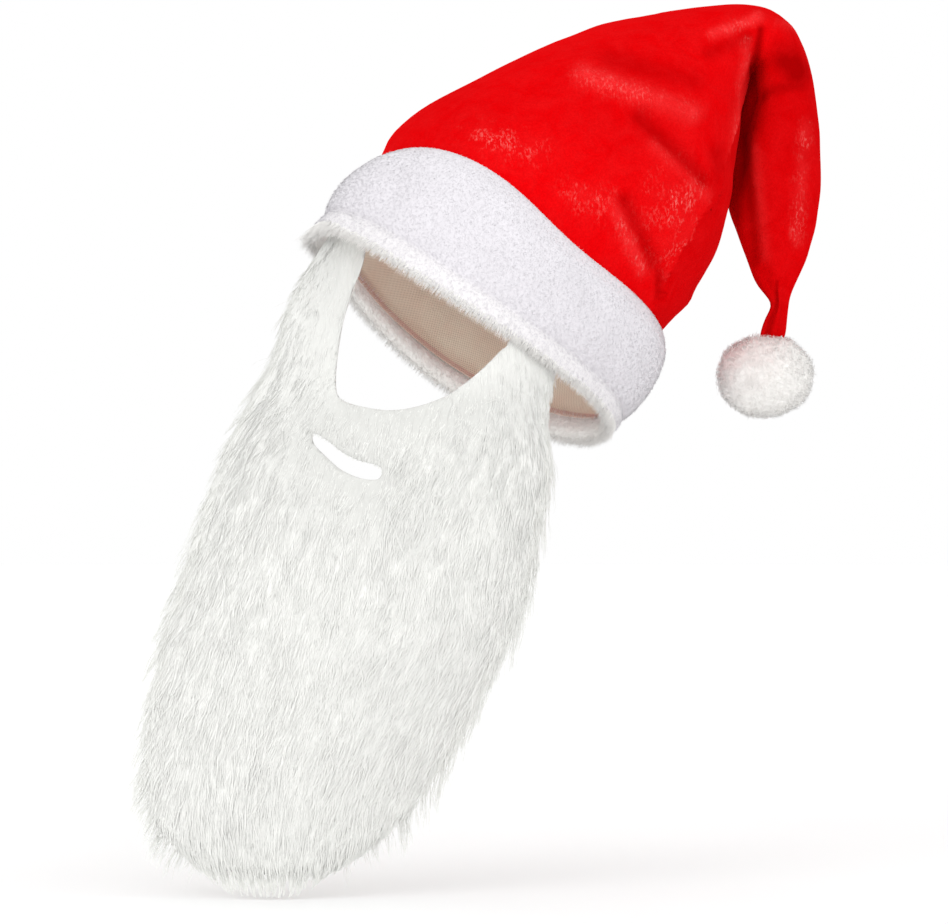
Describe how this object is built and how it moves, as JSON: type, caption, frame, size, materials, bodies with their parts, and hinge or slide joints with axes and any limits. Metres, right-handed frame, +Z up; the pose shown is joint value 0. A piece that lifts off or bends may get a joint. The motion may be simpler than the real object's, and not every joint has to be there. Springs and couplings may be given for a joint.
{
  "type": "santa hat with beard",
  "caption": "Red velour cone hat with a white plush band, a folded hanging tail with a pompom, and a long white fur beard with face and mouth openings, worn on the head.",
  "frame": {"origin": "middle of the hat's opening at the lower edge of the band, where the head goes in", "axes": "+Z up, so the tail and the beard hang along -Z; the beard faces -Y and +X is to the right of someone who looks at it. The hat leans as in the picture: its own axis leans 33.5 degrees towards +X and 9.5 degrees back towards +Y"},
  "size_m": [0.338, 0.2569, 0.4398],
  "materials": {
    "red_velour": "short-pile velour with a soft sheen",
    "white_plush": "short plush pile",
    "mesh_lining": "fine beige mesh",
    "beard_fur": "long white faux fur in downward locks",
    "pompom_fur": "fluffy off-white faux fur"
  },
  "bodies": {
    "root": {"crown": "red_velour", "band": "white_plush", "lining": "mesh_lining", "beard": "beard_fur", "pompom": "pompom_fur"}
  },
  "joints": []
}
